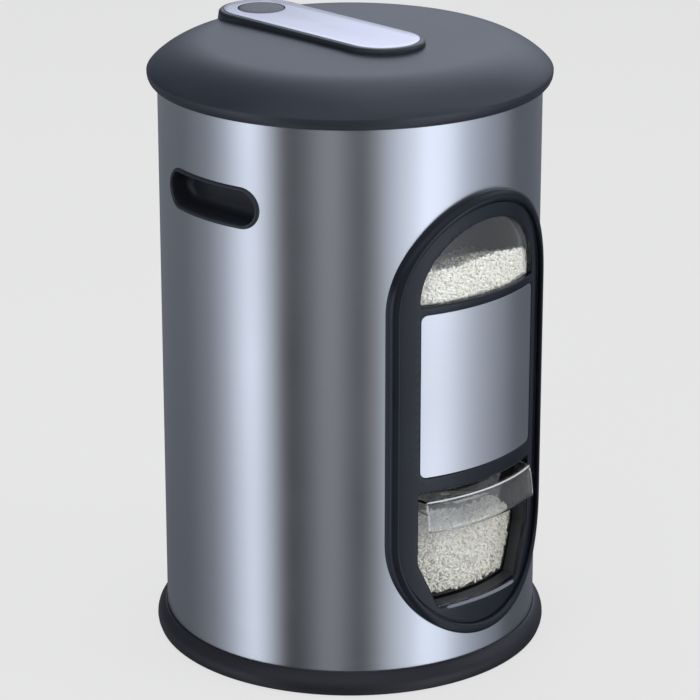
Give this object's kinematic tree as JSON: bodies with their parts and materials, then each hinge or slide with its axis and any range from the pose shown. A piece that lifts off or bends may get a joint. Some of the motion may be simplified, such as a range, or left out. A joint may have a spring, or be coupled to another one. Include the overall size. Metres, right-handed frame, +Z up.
{
  "type": "rice dispenser with drawer",
  "caption": "Round brushed-steel rice keeper with a hinged domed lid and vent button, a hopper inside, a front window and a clear pull-out drawer at the foot",
  "frame": {"origin": "on the drum's axis, on the floor the foot pads stand on", "axes": "+Z up along the drum's axis; the drawer and window face -Y; the lid's hinge is at +Y; the grips are on -X and +X"},
  "size_m": [0.2846, 0.29, 0.4462],
  "materials": {
    "drum_steel": "fine brushed, grain round the drum",
    "label_steel": "fine brushed, bare",
    "face_steel": "pale satin",
    "lid_plastic": "fine matte",
    "spine_plastic": "satin black",
    "bezel_plastic": "gloss black",
    "base_plastic": "matte black",
    "inner_plastic": "pale moulded plastic",
    "housing_plastic": "dark moulded plastic",
    "button_plastic": "soft matte grey",
    "clear_plastic": "clear moulded",
    "soft_rubber": "matte",
    "seal_rubber": "pale silicone",
    "bright_fastener": "plain zinc",
    "spring_steel": "drawn wire",
    "bracket_steel": "black coat"
  },
  "bodies": {
    "base": {"base_ring": "base_plastic", "bottom_plate": "base_plastic", "foot_pads": "soft_rubber", "base_screws": "bright_fastener", "housing_screws": "bright_fastener", "outer_shell": "drum_steel", "top_collar": "base_plastic", "hopper": "inner_plastic", "drawer_housing": "housing_plastic", "front_bezel": "bezel_plastic", "bezel_screws": "bright_fastener", "window_pane": "clear_plastic", "window_gasket": "seal_rubber", "label_plate": "label_steel", "grip_left": "base_plastic", "grip_right": "base_plastic", "hinge_bracket": "bracket_steel", "hinge_pin": "bright_fastener", "hinge_screws": "bright_fastener", "hinge_nuts": "bright_fastener"},
    "drawer": {"drawer_tray": "clear_plastic", "drawer_shutter": "housing_plastic", "shutter_screws": "bright_fastener"},
    "lid": {"lid": "lid_plastic", "lid_liner": "inner_plastic", "lid_seal": "seal_rubber", "liner_screws": "bright_fastener", "lid_spine": "spine_plastic", "spine_plate": "face_steel", "button_spring": "spring_steel"},
    "button": {"vent_button": "button_plastic", "vent_valve": "seal_rubber"}
  },
  "joints": [
    {"name": "lid_hinge", "type": "hinge", "parent": "base", "child": "lid", "pos_m": [0, 0.1405, 0.4055], "axis": [-1, 0, 0], "range_deg": [0, 80]},
    {"name": "drawer_slide", "type": "slide", "parent": "base", "child": "drawer", "axis": [0, -1, 0], "range_m": [0, 0.097]},
    {"name": "button_press", "type": "slide", "parent": "lid", "child": "button", "axis": [0, 0, -1], "range_m": [0, 0.003], "stiffness_N_per_m": 300, "springref_m": -0.003, "deforming": ["button_spring"]}
  ]
}
